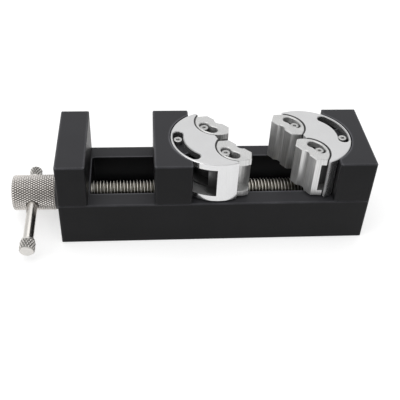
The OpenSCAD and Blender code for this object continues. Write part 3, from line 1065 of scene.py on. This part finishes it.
@dataclass(frozen=True)
class Jaw:
    """A jaw block with its rotor, two pads and their stop screws."""

    side: str
    block_body: Body
    rotor_body: Body
    stop: SocketScrew = SocketScrew(shank_d=2.0, head_d=3.8, head_h=2.0, socket_w=1.5, length=6.0)
    pad_stop_r: float = 6.4

    def build(self, palette: Palette) -> None:
        """Dress the block, the rotor and the pads, and build the stop screws.

        Args:
            palette: The materials.
        """
        dress(f"{self.side}_jaw", palette.anodised)
        finish = replace(
            ROTOR_SILVER,
            name=f"{self.side}_{ROTOR_SILVER.name}",
            # Painted shade round each pad's pocket in the rotor
            pocket_shade_axles=tuple(upright(*pivot) for pivot in self.pivots()),
            lathe=upright(*joint_point(f"{self.side}_rotor_swing")),
        )
        dress(f"{self.side}_rotor", finish.material(palette.effects))
        for place in ("back", "front"):
            dress(f"{self.side}_pad_{place}", palette.pad)
        self.rotor_stop(palette)
        self.pad_stops(palette)

    def pivots(self) -> list[np.ndarray]:
        """Give the axes of the back and the front pad."""
        return [joint_point(f"{self.side}_pad_{place}_swing") for place in ("back", "front")]

    def seat(self, node: str) -> float:
        """Give the height that a stop screw's head stands on."""
        return box_mm(node)[1][2] - self.stop.head_h

    def rotor_stop(self, palette: Palette) -> None:
        """Build the screw that stops the rotor, on the jaw's tongue."""
        node = f"{self.side}_rotor_stop"
        x, y, _ = middle(node)
        skin = self.stop.skin(upright(x, y, self.seat(node)))
        stand_for(node, skin, self.block_body, palette.stop)

    def pad_stops(self, palette: Palette) -> None:
        """Build the screws that stop the pads, each behind its pad's axis as the rotor faces."""
        node = f"{self.side}_pad_stops"
        back, front = self.pivots()
        facing = (back + front) / 2 - joint_point(f"{self.side}_rotor_swing")
        facing[2] = 0.0
        behind = self.pad_stop_r * facing / np.linalg.norm(facing)
        spots = (back - behind, front - behind)
        skin = self.stop.pair(*(upright(x, y, self.seat(node)) for x, y, _ in spots))
        stand_for(node, skin, self.rotor_body, palette.stop)


@dataclass(frozen=True)
class Keeper:
    """The plate under the floor slot that holds the moving jaw down, with its screws."""

    screw: SocketScrew = SocketScrew(
        shank_d=3.0, head_d=5.6, head_h=2.4, socket_w=2.0, length=5.2, form=HeadForm.COUNTERSUNK
    )

    def build(self, palette: Palette) -> None:
        """Dress the plate and build its sunk screws, heads down.

        Args:
            palette: The materials.
        """
        dress("keeper_plate", palette.oxide)
        low, high = box_mm("keeper_screws")
        reach = self.screw.head_d / 2
        rows = (low[0] + reach, high[0] - reach)
        skin = self.screw.pair(*(upright(x, 0.0, low[2], -1.0) for x in rows))
        stand_for("keeper_screws", skin, Body.MOVING_JAW, palette.oxide)


@dataclass(frozen=True)
class ScrewLine:
    """The lead screw with its thrust collar and the knob that turns it."""

    thread_start: float = -54.25
    thread_stop: float = 50.75
    pitch: float = 1.5
    # Corners of the thread's profile as shares of the pitch, their heights, and turns past its ends
    thread_steps: tuple[float, ...] = (0.10, 0.44, 0.56, 0.90)
    thread_levels: tuple[float, ...] = (0.0, 1.0, 1.0, 0.0)
    spare_turns: int = 2
    root_r: float = 4.08
    journal_r: float = 4.0
    far_journal_r: float = 3.5
    far_shoulder: float = 51.75
    end_round: float = 0.4
    columns: int = 72
    collar_round: float = 0.25
    knob_round: float = 1.3
    knob_edge: float = 0.4
    knob_bore_r: float = 4.05
    knob_bore_l: float = 6.75
    knurl: Knurl = Knurl(teeth=44, lead=2.0, depth=0.42, flat=1.9)
    cross_hole_r: float = 2.38
    hole_mouth: float = 0.45
    set_hole_r: float = 2.05
    set_hole_columns: int = 48
    # How far the shapes of the holes reach past the metal
    cross_hole_past: float = 0.5
    set_hole_past: float = 1.0

    def axle(self) -> Axle:
        """Give the screw's axis, with station 0 above the base's middle and angle 0 upwards."""
        _, y, z = joint_point("screw_turn")
        return Axle((0.0, y, z), (1.0, 0.0, 0.0), (0.0, 0.0, 1.0))

    def build(self, palette: Palette) -> None:
        """Build the lead screw, the collar and the knob, and dress the set screw.

        Args:
            palette: The materials.
        """
        self.lead_screw(palette)
        self.collar(palette)
        self.knob(palette)
        dress("knob_set_screw", palette.oxide)

    def lead_screw(self, palette: Palette) -> None:
        """Build the journals as turned ends and the thread as a helix between them."""
        low, high = box_mm("lead_screw")
        axle = self.axle()
        start, stop = self.thread_start, self.thread_stop
        near = [
            (low[0], 0.0, 0.0),
            (low[0], self.journal_r, self.end_round),
            (start, self.journal_r, 0.0),
            (start, self.root_r, 0.0),
        ]
        far = [
            (stop, self.root_r, 0.0),
            (self.far_shoulder, self.root_r, 0.0),
            (self.far_shoulder, self.far_journal_r, 0.0),
            (high[0], self.far_journal_r, self.end_round),
            (high[0], 0.0, 0.0),
        ]
        ends = [soft_turned(axle, corners, self.columns) for corners in (near, far)]
        skin = ends[0] + self.thread(axle, high[1]) + ends[1]
        stand_for("lead_screw", skin, Body.SCREW, palette.thread)

    def thread(self, axle: Axle, crest_r: float) -> Skin:
        """Carry the profile of the right-hand thread along its helix.

        station = start + pitch * (turn + step + angle / full turn) and radius = root or crest, at
        the steps of a turn where the profile has a corner. What lies past either end is drawn to
        that end at the root, so the thread runs out there.

        Args:
            axle: The screw's axis.
            crest_r: Radius at the crests.

        Returns:
            The skin, open at both ends with a rim at the root.
        """
        start, stop = self.thread_start, self.thread_stop
        past = math.ceil((stop - start) / self.pitch) + self.spare_turns
        turns = np.arange(-self.spare_turns, past)
        row = (turns[:, None] + np.array(self.thread_steps)[None, :]).ravel()
        level = np.tile(self.thread_levels, len(turns))
        angle = angles(self.columns)
        shape = (len(row), self.columns)
        raw = start + self.pitch * (row[:, None] + angle[None, :] / FULL_TURN)
        height = np.where((raw < start) | (raw > stop), 0.0, level[:, None])
        radius = self.root_r + (crest_r - self.root_r) * height
        points = axle.place(np.clip(raw, start, stop), radius, np.broadcast_to(angle, shape))
        here = np.arange(row.size * self.columns).reshape(shape)
        beside = np.roll(here, -1, axis=1)
        one_turn = len(self.thread_steps)
        beside[:-one_turn, -1] = here[one_turn:, 0]
        beside[-one_turn:, -1] = here[-1, 0]
        return Skin(points.reshape(-1, 3), strips(here, beside), height.ravel())

    def collar(self, palette: Palette) -> None:
        """Build the collar as a closed turned ring."""
        low, high = box_mm("thrust_collar")
        bore = self.knob_bore_r
        ring = [
            (low[0], bore, 0.0),
            (low[0], high[1], self.collar_round),
            (high[0], high[1], self.collar_round),
            (high[0], bore, 0.0),
            (low[0], bore, 0.0),
        ]
        skin = soft_turned(self.axle(), ring)
        stand_for("thrust_collar", skin, Body.SCREW, palette.oxide)

    def knob(self, palette: Palette) -> None:
        """Build the knurled knob with its blind bore, cross hole and set screw's hole."""
        low, high = box_mm("knob")
        radius = high[1]
        floor = high[0] - self.knob_bore_l
        profile = [
            (low[0], 0.0, 0.0),
            (low[0], radius, self.knob_round),
            (high[0], radius, self.knob_edge),
            (high[0], self.knob_bore_r, 0.0),
            (floor, self.knob_bore_r, 0.0),
            (floor, 0.0, 0.0),
        ]
        skin = self.knurl.skin(self.axle(), profile, (low[0], high[0], radius))
        finish = replace(KNURLED_NICKEL, lathe=self.axle()).material(palette.effects)
        holes = [self.cross_hole(radius), self.set_hole(radius)]
        stand_for("knob", skin, Body.SCREW, finish, holes)

    def cross_hole(self, radius: float) -> Object:
        """Build the shape of the cross hole along the bar, flared at both mouths."""
        reach = radius + self.cross_hole_past
        flare = self.cross_hole_r + self.hole_mouth + self.cross_hole_past
        spool = [
            (-reach, 0.0, 0.0),
            (-reach, flare, 0.0),
            (-radius + self.hole_mouth, self.cross_hole_r, 0.0),
            (radius - self.hole_mouth, self.cross_hole_r, 0.0),
            (reach, flare, 0.0),
            (reach, 0.0, 0.0),
        ]
        return soft_turned(CrossBar().axle(), spool).mesh_object("cross_hole_tool")

    def set_hole(self, radius: float) -> Object:
        """Build the shape of the set screw's hole, from the bore to the back of the knob."""
        x, _, z = middle("knob_set_screw")
        axle = Axle((x, 0.0, z), (0.0, 1.0, 0.0), (1.0, 0.0, 0.0))
        start = self.knob_bore_r - self.set_hole_past
        stop = radius + self.set_hole_past
        hole_r = self.set_hole_r
        rod = [(start, 0.0, 0.0), (start, hole_r, 0.0), (stop, hole_r, 0.0), (stop, 0.0, 0.0)]
        return soft_turned(axle, rod, self.set_hole_columns).mesh_object("set_hole_tool")


@dataclass(frozen=True)
class CrossBar:
    """The bar that slides through the knob, with a knurled cap on each end."""

    bar_d: float = 4.6
    bar_l: float = 48.0
    bar_round: float = 0.3
    columns: int = 72
    stand_off: float = 8.25
    cap_l: float = 6.0
    cap_chamfer: float = 0.7
    cap_neck: float = 0.35
    cap_neck_l: float = 0.9
    cap_edge: float = 0.12
    spigot_d: float = 3.2
    spigot_l: float = 4.0
    spigot_round: float = 0.2
    bore_d: float = 3.3
    bore_l: float = 4.25
    tooth_mm: float = 1.3
    knurl_lead: float = 2.2
    knurl_depth: float = 0.5
    knurl_flat: float = 1.5
    knurl_steps: int = 12

    def axle(self) -> Axle:
        """Give the bar's axis through the knob's middle, along the way that it slides."""
        x = middle("tommy_bar")[0]
        _, y, z = joint_point("screw_turn")
        return Axle((x, y, z), tuple(joint("bar_slide")["axis"]), (1.0, 0.0, 0.0))

    def build(self, palette: Palette) -> None:
        """Build the bar and its two caps.

        Args:
            palette: The materials.
        """
        rear = self.stand_off
        front = rear + 2 * self.cap_l - self.bar_l
        radius, spigot = self.bar_d / 2, self.spigot_d / 2
        bar = [
            (front - self.spigot_l, 0.0, 0.0),
            (front - self.spigot_l, spigot, self.spigot_round),
            (front, spigot, 0.0),
            (front, radius, self.bar_round),
            (rear, radius, self.bar_round),
            (rear, spigot, 0.0),
            (rear + self.spigot_l, spigot, self.spigot_round),
            (rear + self.spigot_l, 0.0, 0.0),
        ]
        skin = soft_turned(self.axle(), bar, self.columns)
        stand_for("tommy_bar", skin, Body.BAR, palette.bar)
        finish = replace(CAP_NICKEL, lathe=self.axle()).material(palette.effects)
        self.cap("bar_cap_front", front, -1.0, finish)
        self.cap("bar_cap_rear", rear, 1.0, finish)

    def cap(self, node: str, inner: float, sign: float, finish: Material) -> None:
        """Build a cap on an axle that points from its free end to the bar.

        Args:
            node: The node that the cap stands for.
            inner: Place of the cap's inner face along the bar.
            sign: 1 where the cap's free end lies further along the bar, or -1.
            finish: Its material.
        """
        bar = self.axle()
        along = np.array(bar.along)
        end = np.array(bar.point) + (inner + sign * self.cap_l) * along
        axle = Axle(tuple(end), tuple(-sign * along), bar.zero)
        low, high = box_mm(node)
        radius, bore = (high[0] - low[0]) / 2, self.bore_d / 2
        teeth = round(FULL_TURN * radius / self.tooth_mm)
        knurl = Knurl(teeth, self.knurl_lead, self.knurl_depth, self.knurl_flat, self.knurl_steps)
        neck = self.cap_l - self.cap_neck_l
        edge = self.cap_edge
        profile = [
            (0.0, 0.0, 0.0),
            (0.0, radius - self.cap_chamfer, edge),
            (self.cap_chamfer, radius, edge),
            (neck - self.cap_neck, radius, 0.0),
            (neck, radius - self.cap_neck, edge),
            (self.cap_l, radius - self.cap_neck, edge),
            (self.cap_l, bore, 0.0),
            (self.cap_l - self.bore_l, bore, 0.0),
            (self.cap_l - self.bore_l, 0.0, 0.0),
        ]
        skin = knurl.skin(axle, profile, (0.0, neck, radius))
        stand_for(node, skin, Body.BAR, finish)


# Studio


@dataclass(frozen=True)
class ViewPoint:
    """The photograph's camera, fitted to its 400 pixel frame."""

    position: Point = (-31.478, -242.470, 213.762)
    yaw_deg: float = 6.256
    pitch_deg: float = 40.535
    roll_deg: float = 3.059
    focal_px: float = 685.276
    frame_px: float = 400.0
    sensor_mm: float = 36.0
    clip_m: Span = (0.01, 20.0)

    def build(self) -> None:
        """Make the camera from its place, its three angles and its focal length."""
        angles = (self.yaw_deg, self.pitch_deg, self.roll_deg)
        yaw, pitch, roll = (math.radians(angle) for angle in angles)
        ahead = Vector(
            (math.sin(yaw) * math.cos(pitch), math.cos(yaw) * math.cos(pitch), -math.sin(pitch))
        )
        level = Vector((math.cos(yaw), -math.sin(yaw), 0.0))
        above = level.cross(ahead)
        right = math.cos(roll) * level + math.sin(roll) * above
        up = -math.sin(roll) * level + math.cos(roll) * above
        data = bpy.data.cameras.new("photo_camera")
        data.sensor_fit = "HORIZONTAL"
        data.sensor_width = self.sensor_mm
        data.lens = self.focal_px / self.frame_px * self.sensor_mm
        data.clip_start, data.clip_end = self.clip_m
        camera = bpy.data.objects.new("photo_camera", data)
        turn = Matrix((right, up, -ahead)).transposed().to_4x4()
        camera.matrix_world = Matrix.Translation(Vector(self.position) * MM) @ turn
        bpy.context.scene.collection.objects.link(camera)
        bpy.context.scene.camera = camera


@dataclass(frozen=True)
class SoftBox:
    """A square lamp that looks at a point."""

    name: str
    place_m: Point
    target_m: Point
    side_m: float
    watts: float

    def build(self) -> None:
        """Make the lamp, with its back to the way from its target."""
        data = bpy.data.lights.new(self.name, "AREA")
        data.size = self.side_m
        data.energy = self.watts
        lamp = bpy.data.objects.new(self.name, data)
        way = Vector(self.target_m) - Vector(self.place_m)
        turn = way.to_track_quat("-Z", "Y").to_matrix().to_4x4()
        lamp.matrix_world = Matrix.Translation(Vector(self.place_m)) @ turn
        bpy.context.scene.collection.objects.link(lamp)


OVERHEAD = SoftBox(
    "overhead_box", place_m=(0.0, 0.1, 1.2), target_m=(0.0, 0.0, 0.0), side_m=1.2, watts=3.2
)
LEFT = SoftBox(
    "left_box", place_m=(-0.7, -0.35, 0.55), target_m=(0.0, 0.0, 0.02), side_m=0.5, watts=1.3
)


@dataclass(frozen=True)
class Studio:
    """The pale floor, the white surroundings and the lamps."""

    floor_side_m: float = 6.0
    floor_colour: Colour = (0.60, 0.60, 0.60, 1.0)
    floor_roughness: float = 0.9
    floor_glow: float = 0.54
    backdrop: float = 0.85
    front_room: float = 0.35
    bright_way: Point = (-0.8, 0.6, 0.6)
    room_span: Span = (-0.9, 0.0)
    lamps: tuple[SoftBox, ...] = (OVERHEAD, LEFT)

    def build(self) -> None:
        """Set up the view, the floor, the surroundings and the lamps."""
        bpy.context.scene.view_settings.view_transform = "Standard"
        self.floor()
        self.surroundings()
        for lamp in self.lamps:
            lamp.build()

    @staticmethod
    def seen_white(graph: Graph, mirrored: bool) -> NodeSocket:
        """Give 1 for rays that show the surroundings.

        Args:
            graph: The node tree.
            mirrored: True where mirrored rays count too.

        Returns:
            The mask of rays from the camera, through glass and, where they count, mirrored ones.
        """
        path = graph.add("ShaderNodeLightPath").outputs
        shown = graph.math("MAXIMUM", path["Is Camera Ray"], path["Is Transmission Ray"])
        return graph.math("MAXIMUM", shown, path["Is Glossy Ray"]) if mirrored else shown

    def floor(self) -> None:
        """Make the floor, whose glow lifts its colour to white and leaves the shadow."""
        half = self.floor_side_m / 2
        mesh = bpy.data.meshes.new("floor")
        spots = [(-half, -half, 0.0), (half, -half, 0.0), (half, half, 0.0), (-half, half, 0.0)]
        mesh.from_pydata(spots, [], [(0, 1, 2, 3)])
        made, graph = blank_material("pale_floor")
        glow = graph.math("MULTIPLY", self.seen_white(graph, True), self.floor_glow)
        shader = graph.add(
            "ShaderNodeBsdfPrincipled",
            {
                "Base Color": self.floor_colour,
                "Roughness": self.floor_roughness,
                "Specular IOR Level": 0.0,
                "Emission Color": WHITE,
                "Emission Strength": glow,
            },
        )
        graph.add("ShaderNodeOutputMaterial", {"Surface": shader.outputs[0]})
        mesh.materials.append(made)
        ground = bpy.data.objects.new("floor", mesh)
        bpy.context.scene.collection.objects.link(ground)

    def surroundings(self) -> None:
        """Make the surroundings white where they show, with a darker room behind the camera."""
        world = bpy.data.worlds.new("white_room")
        world.use_nodes = True
        graph = Graph(world.node_tree)
        way = graph.add("ShaderNodeTexCoord").outputs["Generated"]
        back = graph.vector("DOT_PRODUCT", {0: way, 1: self.bright_way}, "Value")
        room = graph.spread(
            back, self.front_room, self.backdrop, self.room_span, interpolation_type="SMOOTHSTEP"
        )
        level = graph.math("MAXIMUM", room, self.seen_white(graph, False))
        sky = graph.add("ShaderNodeBackground", {"Color": WHITE, "Strength": level})
        graph.add("ShaderNodeOutputWorld", {"Surface": sky.outputs[0]})
        bpy.context.scene.world = world


def main() -> None:
    """Build the studio, the camera and every sub-assembly in order."""
    logging.basicConfig(level=logging.INFO, format="%(name)s: %(message)s")
    Studio().build()
    ViewPoint().build()
    palette = Palette.build()
    assemblies = [
        Bed(),
        Jaw("fixed", Body.BASE, Body.FIXED_ROTOR),
        Jaw("moving", Body.MOVING_JAW, Body.MOVING_ROTOR),
        Keeper(),
        ScrewLine(),
        CrossBar(),
    ]
    for assembly in assemblies:
        assembly.build(palette)


if __name__ == "__main__":
    main()
